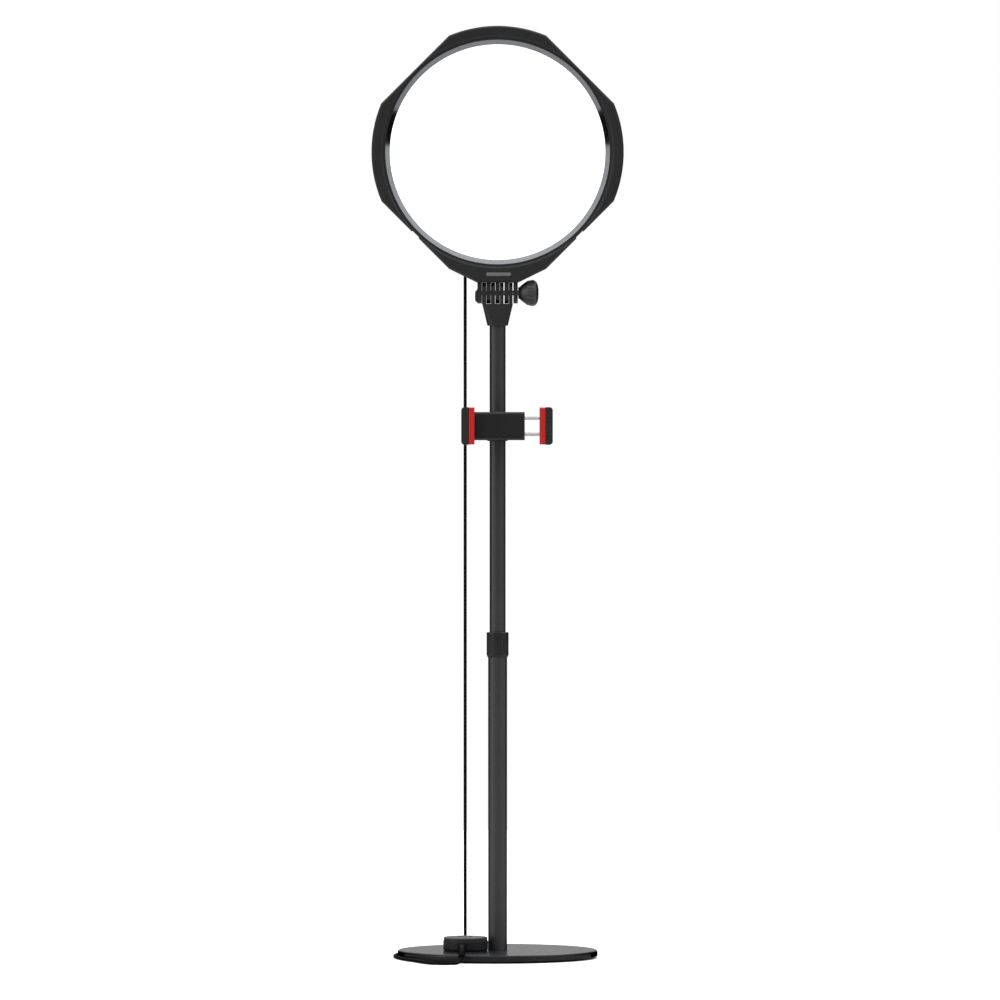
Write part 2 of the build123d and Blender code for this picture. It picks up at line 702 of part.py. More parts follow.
POWER_LEAD_ROUTE = [
    (FRONT_RELIEF_X, FRONT_RELIEF_TIP, FRONT_RELIEF_Z),
    (FRONT_RELIEF_X, -82.5, FRONT_RELIEF_Z),
    (-35.3, -89.5, 13.8),
    (-35.3, -97.0, 13.5),
    (-35.4, -103.8, 9.8),
    (-36.0, -109.0, 4.8),
    (-38.6, -115.6, FLOOR_CABLE_Z),
    (-44.8, -121.4, FLOOR_CABLE_Z),
    (-53.4, -123.6, FLOOR_CABLE_Z),
    (-62.0, -120.2, FLOOR_CABLE_Z),
    (-68.8, -111.6, FLOOR_CABLE_Z),
    (-74.4, -98.6, FLOOR_CABLE_Z),
    (-81.5, -79.5, FLOOR_CABLE_Z),
    (-91.5, -57.0, FLOOR_CABLE_Z),
    (-98.8, -31.5, FLOOR_CABLE_Z),
    (-103.4, -6.0, FLOOR_CABLE_Z),
    (-102.2, 19.0, FLOOR_CABLE_Z),
    (-95.8, 43.0, FLOOR_CABLE_Z),
    (-86.0, 68.0, FLOOR_CABLE_Z),
    (-75.0, 91.0, FLOOR_CABLE_Z),
    (-62.5, 113.0, FLOOR_CABLE_Z),
    (-55.4, 129.0, FLOOR_CABLE_Z),
    (-53.9, 139.0, FLOOR_CABLE_Z),
]

POWER_TAIL_ROUTE = [
    (-46.8, 156.6, 4.9),
    (-37.6, 162.6, 4.4),
    (-27.0, 165.6, 3.7),
    (-16.2, 164.9, PLUG_Z),
    (-7.2, 160.8, PLUG_Z),
    (-1.0, 154.2, PLUG_Z),
    (PLUG_X, 147.4, PLUG_Z),
    (PLUG_X, PLUG_Y, PLUG_Z),
]


def head_lead_upper():
    """The cable's top stretch, from the head's relief down to where it is free of the tilt."""
    top = (CABLE_X, CABLE_Y, HEAD_RELIEF_TIP)
    return cable("head_lead_upper", [top, (CABLE_X, CABLE_Y, CABLE_SPLIT_Z)])


def head_lead_lower():
    """The cable beside the pole, down to the remote's rear relief."""
    return cable("head_lead_lower", HEAD_LEAD_ROUTE)


def power_lead():
    """The USB lead from the remote over the rim and round the base to its coil."""
    return cable("power_lead", POWER_LEAD_ROUTE)


def power_lead_tail():
    """The end of the USB lead, from the coil to its plug."""
    return cable("power_lead_tail", POWER_TAIL_ROUTE)


def power_lead_coil():
    """The outer shape of the rest of the USB lead, wound in a neat coil."""
    half_width = (COIL_COLUMNS - 1) / 2 * COIL_PITCH + CABLE_R
    height = (COIL_LAYERS - 1) * COIL_PITCH + 2 * CABLE_R + 0.1
    solid = ring(COIL_MEAN_R + half_width, COIL_MEAN_R - half_width, 0, height)
    solid = fillet(solid.edges(), CABLE_R)
    return Pos(COIL_X, COIL_Y, 0) * solid


def coil_tie():
    """Hook-and-loop tie round the coil."""
    half_width = (COIL_COLUMNS - 1) / 2 * COIL_PITCH + CABLE_R
    top = (COIL_LAYERS - 1) * COIL_PITCH + 2 * CABLE_R + 0.2
    outer = block(-half_width - 1.5, half_width + 1.0, -3.5, 3.5, 0, top + 0.7)
    outer = fillet(outer.edges().filter_by(Axis.Y), 1.2)
    inner = block(-half_width - 0.8, half_width + 0.3, -6, 6, -1, top)
    inner = fillet(inner.edges().filter_by(Axis.Y), 0.8)
    return Pos(COIL_X, COIL_Y, 0) * Rot(0, 0, 20) * Pos(COIL_MEAN_R, 0, 0) * (outer - inner)


def at_plug(solid):
    """Lays a plug built along +Z on the floor behind the base, pointing forward."""
    return Pos(PLUG_X, PLUG_Y, PLUG_Z) * Rot(90, 0, 0) * solid


def usb_plug_body():
    """Overmoulded handle of the USB plug with its short relief."""
    body = Pos(0, 0, 15.8) * Box(15.0, 6.6, 19.0)
    body = fillet(body.edges().filter_by(Axis.Z), 2.2)
    body = fillet(body.faces().sort_by(Axis.Z)[0].edges(), 1.0)
    body += turned([(0, 0), (2.2, 0), (2.9, 6.5), (0, 6.5)])
    body -= Pos(0, 0, 22.4) * Box(12.1, 4.6, 8.0)
    return at_plug(body)


def usb_plug_shell():
    """Steel shell and tongue of the USB plug."""
    shell = Pos(0, 0, 28.0) * Box(12.0, 4.5, 19.0) - Pos(0, 0, 30.0) * Box(11.4, 3.9, 19.2)
    for x in (-2.7, 2.7):
        shell -= Pos(x, 2, 32.0) * Box(2.2, 4, 2.4)
    tongue = Pos(0, -0.9, 27.6) * Box(11.2, 1.9, 17.6)
    return at_plug(shell + tongue)


# ======== phone grip ========

def clamp_liner():
    """Rubber-lined sleeve that slides on the upper tube."""
    return ring(LINER_R, UPPER_R + RUN_FIT, GRIP_Z - 14.5, GRIP_Z + 14.5) + ring(
        LINER_R + 0.9, LINER_R - 0.2, GRIP_Z - 14.5, GRIP_Z - 13.7)


def clamp_lugs(y0, y1):
    """The two ears of a clamp half."""
    ears = block(-CLAMP_LUG_X - 5.5, CLAMP_LUG_X + 5.5, y0, y1, GRIP_Z - 8.5, GRIP_Z + 8.5)
    return fillet(ears.edges().filter_by(Axis.Y), 4.0)


def clamp_bore():
    return upright(LINER_R + RUN_FIT, GRIP_Z - 20, GRIP_Z + 20)


def clamp_front():
    """Front half of the pole clamp with the ball's socket."""
    low = GRIP_Z - CLAMP_HALF_HEIGHT
    high = GRIP_Z + CLAMP_HALF_HEIGHT
    body = upright(CLAMP_R, low, high) & block(-20, 20, -20, -CLAMP_SPLIT, low, high)
    body += clamp_lugs(-5.0, -CLAMP_SPLIT)
    body += along_y(9.3, -22.6, -11.0, 0, GRIP_Z)
    body -= clamp_bore()
    body -= Pos(0, BALL_Y, GRIP_Z) * Sphere(BALL_R + RUN_FIT)
    for side in (-1, 1):
        body -= along_y(2.05, -10, 10, side * CLAMP_LUG_X, GRIP_Z)
    return body


def clamp_rear():
    """Rear half of the pole clamp."""
    low = GRIP_Z - CLAMP_HALF_HEIGHT
    high = GRIP_Z + CLAMP_HALF_HEIGHT
    body = upright(CLAMP_R, low, high) & block(-20, 20, CLAMP_SPLIT, 20, low, high)
    body += clamp_lugs(CLAMP_SPLIT, 5.0)
    body -= clamp_bore()
    for side in (-1, 1):
        body -= along_y(2.05, -10, 10, side * CLAMP_LUG_X, GRIP_Z)
    return body


def clamp_fasteners():
    """Screw and nut of the clamp's left ears, and the thumbscrew's nut on the right."""
    bolt = along_y(2.0, -9.0, 5.1, -CLAMP_LUG_X, GRIP_Z) + along_y(3.6, 5.05, 7.8, -CLAMP_LUG_X, GRIP_Z)
    nut = forward(extrude(RegularPolygon(4.0, 6), amount=3.0) - Cylinder(2.03, 20), z=GRIP_Z)
    nuts = [Pos(side * CLAMP_LUG_X, -5.03, 0) * nut for side in (-1, 1)]
    return Compound([bolt.solid()] + [n.solid() for n in nuts])


def clamp_thumbscrew():
    """Thumbscrew that tightens the clamp from behind."""
    knob = turned([(0, 5.1), (4.5, 5.1), (4.5, 7.0), (7.7, 8.6), (8.0, 14.4), (7.3, 16.0), (0, 16.6)])
    for cut in around(12, 8.7, Pos(0, 0, 12.2) * Cylinder(1.4, 9.4)):
        knob -= cut
    knob += upright(2.0, -8.4, 5.5)
    return Pos(CLAMP_LUG_X, 0, GRIP_Z) * Rot(-90, 0, 0) * knob


def ball_lock_ring():
    """Knurled ring that squeezes the socket on the ball."""
    ring_body = turned([(9.35, 15.0), (11.5, 15.0), (11.5, 25.2), (10.7, 26.3), (6.4, 26.3), (5.95, 24.8),
                        (6.9, 23.2), (9.35, 23.2)])
    for cut in around(24, 11.9, Pos(0, 0, 20.0) * Cylinder(0.8, 8.4)):
        ring_body -= cut
    return forward(ring_body, z=GRIP_Z)


def ball_stud():
    """Ball with its neck, flange and quarter-inch stud."""
    neck = along_y(2.6, -33.0, BALL_Y - 5.0, 0, GRIP_Z)
    flange = along_y(6.0, -33.9, -32.4, 0, GRIP_Z)
    stud = along_y(3.15, -41.5, -33.8, 0, GRIP_Z)
    return Pos(0, BALL_Y, GRIP_Z) * Sphere(BALL_R) + neck + flange + stud


def grip_body():
    """Body of the phone grip: two spring bores and the stud's threaded hole."""
    body = block(-27, 27, GRIP_FRONT, GRIP_BACK, GRIP_Z - 14, GRIP_Z + 14)
    body = fillet(body.edges().filter_by(Axis.X), 2.5)
    body -= along_y(3.2, GRIP_FRONT + 3.5, GRIP_BACK + 1, 0, GRIP_Z)
    for side in (-1, 1):
        z = GRIP_Z + side * ROD_OFFSET_Z
        body -= along_x(SPRING_BORE_R, -30, 21, ROD_Y, z)
        body -= along_x(ROD_R + RUN_FIT, 20, 30, ROD_Y, z)
    return body


def back_pad():
    """Rubber pad that the phone's back rests on."""
    pad = block(-22, 25, PHONE_BACK, GRIP_FRONT, GRIP_Z - 11, GRIP_Z + 11)
    return fillet(pad.edges().filter_by(Axis.Y), 4.0)


def jaw_block(x0, x1):
    """Black outer block of a jaw with rounded corners."""
    body = block(x0, x1, LIP_FRONT + 0.6, GRIP_BACK, GRIP_Z - JAW_HALF_HEIGHT, GRIP_Z + JAW_HALF_HEIGHT)
    outer = body.edges().filter_by(Axis.Y)
    outer = outer.sort_by(Axis.X)[:2] if x0 < 0 else outer.sort_by(Axis.X)[-2:]
    return fillet(outer, 3.2)


def fixed_jaw():
    """Left jaw, screwed to the grip's body."""
    body = jaw_block(-36.1, -28.65)
    body += block(-28.8, -27.02, GRIP_FRONT + 0.2, GRIP_BACK, GRIP_Z - 12, GRIP_Z + 12)
    return body


def jaw_pad(x_back, x_face, x_lip):
    """L-shaped red pad: one wall beside the phone and a lip over its front."""
    low = GRIP_Z - PAD_HALF_HEIGHT
    high = GRIP_Z + PAD_HALF_HEIGHT
    wall = block(min(x_back, x_face), max(x_back, x_face), LIP_FRONT, GRIP_FRONT, low, high)
    lip = block(min(x_back, x_lip), max(x_back, x_lip), LIP_FRONT, LIP_BACK, low, high)
    pad = wall + lip
    pad = fillet(pad.faces().sort_by(Axis.Y)[0].edges(), 1.5)
    for i in range(1, 10):
        foot = low + 3.5 * i
        pad -= block(x_face - 0.35, x_face + 0.35, LIP_BACK - 0.01, GRIP_FRONT + 1, foot, foot + 1.2)
    return pad


def fixed_jaw_pad():
    return jaw_pad(-28.6, PHONE_LEFT, PHONE_LEFT + JAW_LIP)


def sliding_jaw_pad():
    return jaw_pad(47.8, PHONE_RIGHT, PHONE_RIGHT - JAW_LIP)


def sliding_jaw():
    """Right jaw on its two rods."""
    body = jaw_block(47.85, 54.8)
    for side in (-1, 1):
        body -= along_x(ROD_R + FIXED_GAP, 40, 53.0, ROD_Y, GRIP_Z + side * ROD_OFFSET_Z)
    return body


def jaw_rods():
    """Two guide rods with heads that press the springs."""
    rods = []
    for side in (-1, 1):
        z = GRIP_Z + side * ROD_OFFSET_Z
        rods.append((along_x(ROD_R, -6.0, 52.9, ROD_Y, z) + along_x(3.2, -6.5, -3.5, ROD_Y, z)).solid())
    return Compound(rods)


def jaw_springs():
    """Two compression springs that pull the jaw shut."""
    x0 = -3.05
    length = 23.6
    path = Helix(pitch=length / SPRING_TURNS, height=length, radius=2.75)
    wire = sweep(Plane(origin=path @ 0, z_dir=path % 0) * Circle(0.3), path=path)
    return Compound([(Pos(x0, ROD_Y, GRIP_Z + side * ROD_OFFSET_Z) * Rot(0, 90, 0) * wire).solid()
                     for side in (-1, 1)])


SUB_PARTS = [
    base_plate, base_foot_pad, base_bolt, tube_foot_plug, lower_tube, lock_ferrule, lock_collar,
    upper_tube, slide_bush, pole_head, pole_grub_screw,
    front_bezel, trim_ring, diffuser, light_guide, reflector_sheet, led_strip, heat_tray, rear_cover,
    head_screws, driver_board, tilt_knuckle, dome_nut, tilt_bolt, tilt_knob,
    gland_housing, head_strain_relief,
    puck_shell, puck_floor, puck_screws, puck_board, puck_cap, dial_ring, power_button, mode_button,
    front_strain_relief, rear_strain_relief,
    head_lead_upper, head_lead_lower, power_lead, power_lead_coil, power_lead_tail, coil_tie,
    usb_plug_body, usb_plug_shell,
    clamp_liner, clamp_front, clamp_rear, clamp_fasteners, clamp_thumbscrew, ball_lock_ring, ball_stud,
    grip_body, back_pad, fixed_jaw, fixed_jaw_pad, sliding_jaw, sliding_jaw_pad, jaw_rods, jaw_springs,
]


def main():
    os.makedirs("parts", exist_ok=True)
    for make in SUB_PARTS:
        export_step(make(), os.path.join("parts", make.__name__ + ".step"))


main()
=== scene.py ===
"""Visual model of the ring light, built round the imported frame. Metres, in the frame's own axes."""
import json
import math

import bmesh
import bpy
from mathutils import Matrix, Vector


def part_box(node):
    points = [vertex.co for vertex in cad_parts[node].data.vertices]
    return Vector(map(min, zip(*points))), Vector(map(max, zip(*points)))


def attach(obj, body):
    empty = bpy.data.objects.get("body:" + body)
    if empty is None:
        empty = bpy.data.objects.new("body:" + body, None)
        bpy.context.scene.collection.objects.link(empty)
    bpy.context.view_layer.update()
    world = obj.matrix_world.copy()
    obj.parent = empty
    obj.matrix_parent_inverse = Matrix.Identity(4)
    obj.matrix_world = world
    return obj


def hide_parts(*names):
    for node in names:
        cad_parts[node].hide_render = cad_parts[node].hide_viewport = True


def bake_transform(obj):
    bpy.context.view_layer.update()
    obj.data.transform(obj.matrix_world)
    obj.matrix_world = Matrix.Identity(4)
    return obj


MM = 0.001
RIGHT = Vector((1, 0, 0))
BACK = Vector((0, 1, 0))
UP = Vector((0, 0, 1))

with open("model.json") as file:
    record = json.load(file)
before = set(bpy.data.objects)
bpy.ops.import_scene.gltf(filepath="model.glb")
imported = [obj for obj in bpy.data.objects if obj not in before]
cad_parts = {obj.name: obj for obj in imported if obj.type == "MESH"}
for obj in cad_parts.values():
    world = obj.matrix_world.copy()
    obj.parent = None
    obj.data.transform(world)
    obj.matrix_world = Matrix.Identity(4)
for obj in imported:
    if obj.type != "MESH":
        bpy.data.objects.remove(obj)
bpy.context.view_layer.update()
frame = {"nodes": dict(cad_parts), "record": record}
nodes = frame["nodes"]
scene = bpy.context.scene
scene.view_settings.view_transform = "Standard"
scene.view_settings.look = "None"


# ======== camera ========

CAMERA_AT = (0.0024, -7.4, 0.4575)
LENS = 266.4

camera_data = bpy.data.cameras.new("camera")
camera_data.lens = LENS
camera_data.sensor_width = 36.0
camera_data.clip_end = 100.0
camera = bpy.data.objects.new("camera", camera_data)
camera.location = CAMERA_AT
camera.rotation_euler = (math.radians(90), 0, 0)
scene.collection.objects.link(camera)
scene.camera = camera


# ======== cables: the routes are the control points of smooth splines ========

CABLE_R = 1.6 * MM
CABLE_SIDES = 16
CABLE_X = -0.0325
FLOOR = 0.00165

HEAD_LEAD_UPPER = [(CABLE_X, 0.0175, 0.684), (CABLE_X, 0.0175, 0.652), (CABLE_X, 0.0175, 0.621),
                   (CABLE_X, 0.0175, 0.590)]
HEAD_LEAD_LOWER = [
    (CABLE_X, 0.0175, 0.590), (CABLE_X, 0.0175, 0.100), (CABLE_X, 0.0186, 0.080), (CABLE_X, 0.0225, 0.060),
    (CABLE_X, 0.0272, 0.0445), (CABLE_X, 0.0298, 0.033), (CABLE_X, 0.030, 0.023), (CABLE_X, 0.0266, 0.0164),
    (CABLE_X, 0.0204, 0.0126), (CABLE_X, 0.012, 0.0126),
]
POWER_LEAD = [
    (-0.0354, -0.076, 0.0123), (-0.0354, -0.0825, 0.0123), (-0.0353, -0.0895, 0.0138), (-0.0353, -0.097, 0.0135),
    (-0.0354, -0.1038, 0.0098), (-0.036, -0.109, 0.0048), (-0.0386, -0.1156, FLOOR), (-0.0448, -0.1214, FLOOR),
    (-0.0534, -0.1236, FLOOR), (-0.062, -0.1202, FLOOR), (-0.0688, -0.1116, FLOOR), (-0.0744, -0.0986, FLOOR),
    (-0.0815, -0.0795, FLOOR), (-0.0915, -0.057, FLOOR), (-0.0988, -0.0315, FLOOR), (-0.1034, -0.006, FLOOR),
    (-0.1022, 0.019, FLOOR), (-0.0958, 0.043, FLOOR), (-0.086, 0.068, FLOOR), (-0.075, 0.091, FLOOR),
    (-0.0625, 0.113, FLOOR), (-0.0554, 0.129, FLOOR),
]
POWER_TAIL = [
    (-0.0468, 0.1566, 0.0049), (-0.0376, 0.1626, 0.0044), (-0.027, 0.1656, 0.0037), (-0.0162, 0.1649, 0.00335),
    (-0.0072, 0.1608, 0.00335), (-0.001, 0.1542, 0.00335), (0.001, 0.1474, 0.00335), (0.001, 0.1415, 0.00335),
]
COIL_CENTRE = Vector((-0.032, 0.139, 0))
COIL_RADII = (0.021875, 0.018625, 0.015375, 0.012125)
COIL_PITCH = 0.00325
COIL_STEPS = 14
COIL_END = 7 + 30 / 360


def eased(share, low, high):
    """0 before low, 1 after high and a smooth step between."""
    t = min(1.0, max(0.0, (share - low) / (high - low)))
    return t * t * (3 - 2 * t)


def coil_points():
    """Turns of the put-away lead: outside to inside on the floor, up, and inside to outside on top."""
    bulge = 1 / math.cos(math.pi / COIL_STEPS)
    last = len(COIL_RADII) - 1
    points = []
    for i in range(int(COIL_END * COIL_STEPS) + 1):
        turn, share = divmod(i / COIL_STEPS, 1.0)
        turn = int(turn)
        height = FLOOR
        if turn < last:
            radius = COIL_RADII[turn] - COIL_PITCH * eased(share, 0.6, 1.0)
        elif turn == last:
            radius = COIL_RADII[last]
            height += COIL_PITCH * eased(share, 0.3, 0.6)
        else:
            radius = COIL_RADII[last] + COIL_PITCH * (turn - last - 1 + eased(share, 0.0, 0.3))
            height += COIL_PITCH
        angle = math.pi - 2 * math.pi * share
        around = Vector((math.cos(angle), math.sin(angle), 0))
        points.append(COIL_CENTRE + around * radius * bulge + Vector((0, 0, height)))
    return points


def spline(name, points, resolution=8):
    """A smooth open curve with the points as its control points."""
    data = bpy.data.curves.new(name, "CURVE")
    data.dimensions = "3D"
    line = data.splines.new("NURBS")
    line.points.add(len(points) - 1)
    for control, place in zip(line.points, points):
        control.co = (*place, 1.0)
    line.use_endpoint_u = True
    line.order_u = 3
    data.resolution_u = resolution
    obj = bpy.data.objects.new(name, data)
    scene.collection.objects.link(obj)
    return obj


def centreline(points, resolution):
    """Points along the spline that has these control points."""
    obj = spline("line", points, resolution)
    bpy.context.view_layer.update()
    mesh = bpy.data.meshes.new_from_object(obj.evaluated_get(bpy.context.evaluated_depsgraph_get()))
    line = [v.co.copy() for v in mesh.vertices]
    bpy.data.objects.remove(obj)
    bpy.data.meshes.remove(mesh)
    return line


def mesh_piece(name, build, smooth=True):
    """A mesh object whose geometry the function build(bm) makes."""
    bm = bmesh.new()
    build(bm)
    bmesh.ops.recalc_face_normals(bm, faces=bm.faces[:])
    data = bpy.data.meshes.new(name)
    bm.to_mesh(data)
    bm.free()
    for face in data.polygons:
        face.use_smooth = smooth
    obj = bpy.data.objects.new(name, data)
    scene.collection.objects.link(obj)
    return obj


def sweep(bm, line, section, side):
    """Carries a closed section, given as (across, along side) offsets, down a line; side is a fixed direction."""
    rings = []
    for i, place in enumerate(line):
        before = line[max(i - 1, 0)]
        after = line[min(i + 1, len(line) - 1)]
        ahead = (after - before).normalized()
        across = ahead.cross(side).normalized()
        up = across.cross(ahead).normalized()
        rings.append([bm.verts.new(place + across * u + up * v) for u, v in section])
    count = len(section)
    for low, high in zip(rings, rings[1:]):
        for k in range(count):
            bm.faces.new((low[k], low[(k + 1) % count], high[(k + 1) % count], high[k]))
    bm.faces.new(rings[0])
    bm.faces.new(list(reversed(rings[-1])))


def round_section(radius, count):
    return [(radius * math.cos(2 * math.pi * k / count), radius * math.sin(2 * math.pi * k / count))
            for k in range(count)]


def cable_tube(name, points, resolution, side):
    """A mesh tube along a cable's spline, and the line it follows; the cable never runs along side."""
    line = centreline(points, resolution)
    obj = mesh_piece(name, lambda bm: sweep(bm, line, round_section(CABLE_R, CABLE_SIDES), side))
    return obj, line


lead_upper, line_upper = cable_tube("head_cable_upper", HEAD_LEAD_UPPER, 12, RIGHT)
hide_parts("head_lead_upper")
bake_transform(lead_upper)

lead_lower, line_lower = cable_tube("head_cable_lower", HEAD_LEAD_LOWER, 24, RIGHT)
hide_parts("head_lead_lower")
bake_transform(lead_lower)

power_cable, power_line = cable_tube("power_cable", POWER_LEAD + coil_points() + POWER_TAIL, 8, UP)
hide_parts("power_lead", "power_lead_coil", "power_lead_tail")
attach(power_cable, "base")


# ======== materials ========

HEAD_Z = 0.805
PANEL_GLOW = 0.95


def node(tree, kind, inputs=(), **settings):
    """A shader node with its settings and, by name or index, its inputs' values or links."""
    made = tree.nodes.new(kind)
    for key, value in settings.items():
        setattr(made, key, value)
    for key, value in dict(inputs).items():
        if isinstance(value, bpy.types.NodeSocket):
            tree.links.new(value, made.inputs[key])
        else:
            made.inputs[key].default_value = value
    return made


def noise(tree, place, scale, detail=2.0, roughness=0.5):
    return node(tree, "ShaderNodeTexNoise",
                {"Vector": place, "Scale": scale, "Detail": detail, "Roughness": roughness}).outputs["Fac"]


def remap(tree, value, low, high, to_low=0.0, to_high=1.0):
    return node(tree, "ShaderNodeMapRange", {"Value": value, "From Min": low, "From Max": high,
                                             "To Min": to_low, "To Max": to_high}).outputs["Result"]


def maths(tree, operation, a, b=0.0):
    return node(tree, "ShaderNodeMath", {0: a, 1: b}, operation=operation).outputs[0]


def mixed(tree, share, a, b):
    made = node(tree, "ShaderNodeMix", {0: share, 6: a, 7: b}, data_type="RGBA")
    return made.outputs[2]


def rgba(colour, factor=1.0):
    return (*(min(1.0, c * factor) for c in colour), 1.0)


def surface(name, colour, roughness, spread=0.12, metallic=0.0, specular=0.5, grain=2500.0, depth=0.00003,
            strength=0.35, edge=0.0, edge_radius=0.0004, blotch=35.0, coat=0.0, painted_rim_shade=0.0,
            place=None):
    """A coated or moulded surface: tone drift, fine grain, uneven gloss, and edges painted lighter, partly as wear
    and partly as a painted highlight.
    painted_rim_shade is the share of tone and gloss taken away as painted shade where an upright surface turns away
    from the view."""
    made = bpy.data.materials.new(name)
    made.use_nodes = True
    tree = made.node_tree
    shader = tree.nodes["Principled BSDF"]
    if place is None:
        place = node(tree, "ShaderNodeTexCoord").outputs["Object"]
    drift = noise(tree, place, blotch, 3.0, 0.6)
    fine = noise(tree, place, grain, 2.0, 0.55)
    tone = mixed(tree, remap(tree, drift, 0.3, 0.7), rgba(colour, 1 - spread), rgba(colour, 1 + spread))
    tone = mixed(tree, remap(tree, fine, 0.35, 0.75, 0.0, 0.35), tone, rgba(colour, 1 + 2.5 * spread))
    soft = node(tree, "ShaderNodeBevel", {"Radius": edge_radius}, samples=4).outputs["Normal"]
    # Painted highlight and wear: sharp edges are painted lighter, unevenly along the drift noise.
    if edge > 0:
        sharp = node(tree, "ShaderNodeNewGeometry").outputs["Normal"]
        turn = node(tree, "ShaderNodeVectorMath", {0: soft, 1: sharp}, operation="DOT_PRODUCT").outputs["Value"]
        exposed = remap(tree, turn, 0.995, 0.85, 0.0, edge)
        worn_and_highlit_edge = maths(tree, "MULTIPLY", exposed, remap(tree, drift, 0.25, 0.65, 0.4, 1.0))
        tone = mixed(tree, worn_and_highlit_edge, tone, rgba([c * 1.5 + 0.03 for c in colour]))
    shader.inputs["Metallic"].default_value = metallic
    shader.inputs["Specular IOR Level"].default_value = specular
    # Painted shade: where an upright surface turns away from the view, its tone darkens towards black and its gloss
    # drops; surfaces facing up keep both.
    if painted_rim_shade > 0:
        turned_away = node(tree, "ShaderNodeLayerWeight", {"Blend": 0.5}).outputs["Facing"]
        kept = remap(tree, turned_away, 0.32, 0.65, 1.0, 1.0 - painted_rim_shade)
        normal = node(tree, "ShaderNodeNewGeometry").outputs["Normal"]
        height = node(tree, "ShaderNodeSeparateXYZ", {0: normal}).outputs["Z"]
        level = remap(tree, maths(tree, "ABSOLUTE", height), 0.5, 0.9)
        kept = maths(tree, "MAXIMUM", kept, level)
        tone = mixed(tree, kept, (0.0, 0.0, 0.0, 1.0), tone)
        tree.links.new(maths(tree, "MULTIPLY", kept, specular), shader.inputs["Specular IOR Level"])
    tree.links.new(tone, shader.inputs["Base Color"])
    shader.inputs["Coat Weight"].default_value = coat
    gloss = remap(tree, noise(tree, place, blotch * 4, 4.0, 0.6), 0.3, 0.7, roughness - 0.05, roughness + 0.05)
    tree.links.new(gloss, shader.inputs["Roughness"])
    bump = node(tree, "ShaderNodeBump", {"Height": fine, "Normal": soft, "Strength": strength, "Distance": depth})
    tree.links.new(bump.outputs["Normal"], shader.inputs["Normal"])
    return made


def stretched(scale):
    """Object coordinates drawn out along an axis, for brushed or drawn metal."""
    def make(tree):
        place = node(tree, "ShaderNodeTexCoord").outputs["Object"]
        return node(tree, "ShaderNodeMapping", {"Vector": place, "Scale": scale}).outputs["Vector"]
    return make


def metal(name, colour, roughness, scale=(1.0, 1.0, 1.0), grain=900.0, strength=0.2):
    """Bare or plated metal with a drawn-out grain."""
    made = bpy.data.materials.new(name)
    made.use_nodes = True
    tree = made.node_tree
    shader = tree.nodes["Principled BSDF"]
    place = stretched(scale)(tree)
    fine = noise(tree, place, grain, 3.0, 0.6)
    tree.links.new(mixed(tree, remap(tree, fine, 0.3, 0.7), rgba(colour, 0.88), rgba(colour, 1.08)),
                   shader.inputs["Base Color"])
    shader.inputs["Metallic"].default_value = 1.0
    tree.links.new(remap(tree, fine, 0.3, 0.7, roughness * 0.8, roughness * 1.25), shader.inputs["Roughness"])
    soft = node(tree, "ShaderNodeBevel", {"Radius": 0.0002}, samples=4).outputs["Normal"]
    bump = node(tree, "ShaderNodeBump", {"Height": fine, "Normal": soft, "Strength": strength, "Distance": 0.00001})
    tree.links.new(bump.outputs["Normal"], shader.inputs["Normal"])
    return made


def woven(name, colour):
    """Hook-and-loop webbing: short loops over a fine weave."""
    made = surface(name, colour, 0.85, spread=0.3, grain=2200.0, depth=0.0002, strength=0.8, specular=0.2)
    shader = made.node_tree.nodes["Principled BSDF"]
    shader.inputs["Sheen Weight"].default_value = 0.35
    shader.inputs["Sheen Roughness"].default_value = 0.5
    return made


def lit_panel(name):
    """Opal panel lit from behind: even, and a touch dimmer at its rim."""
    made = bpy.data.materials.new(name)
    made.use_nodes = True
    tree = made.node_tree
    shader = tree.nodes["Principled BSDF"]
    place = node(tree, "ShaderNodeTexCoord").outputs["Object"]
    centre = node(tree, "ShaderNodeVectorMath", {0: place, 1: (0, 0, HEAD_Z)}, operation="SUBTRACT").outputs["Vector"]
    reach = node(tree, "ShaderNodeVectorMath", {0: centre}, operation="LENGTH").outputs["Value"]
    shade = mixed(tree, remap(tree, reach, 0.085, 0.113), (1.0, 1.0, 1.0, 1.0), (0.93, 0.95, 0.97, 1.0))
    tree.links.new(shade, shader.inputs["Base Color"])
    tree.links.new(shade, shader.inputs["Emission Color"])
    shader.inputs["Emission Strength"].default_value = PANEL_GLOW
    shader.inputs["Roughness"].default_value = 0.35
    return made


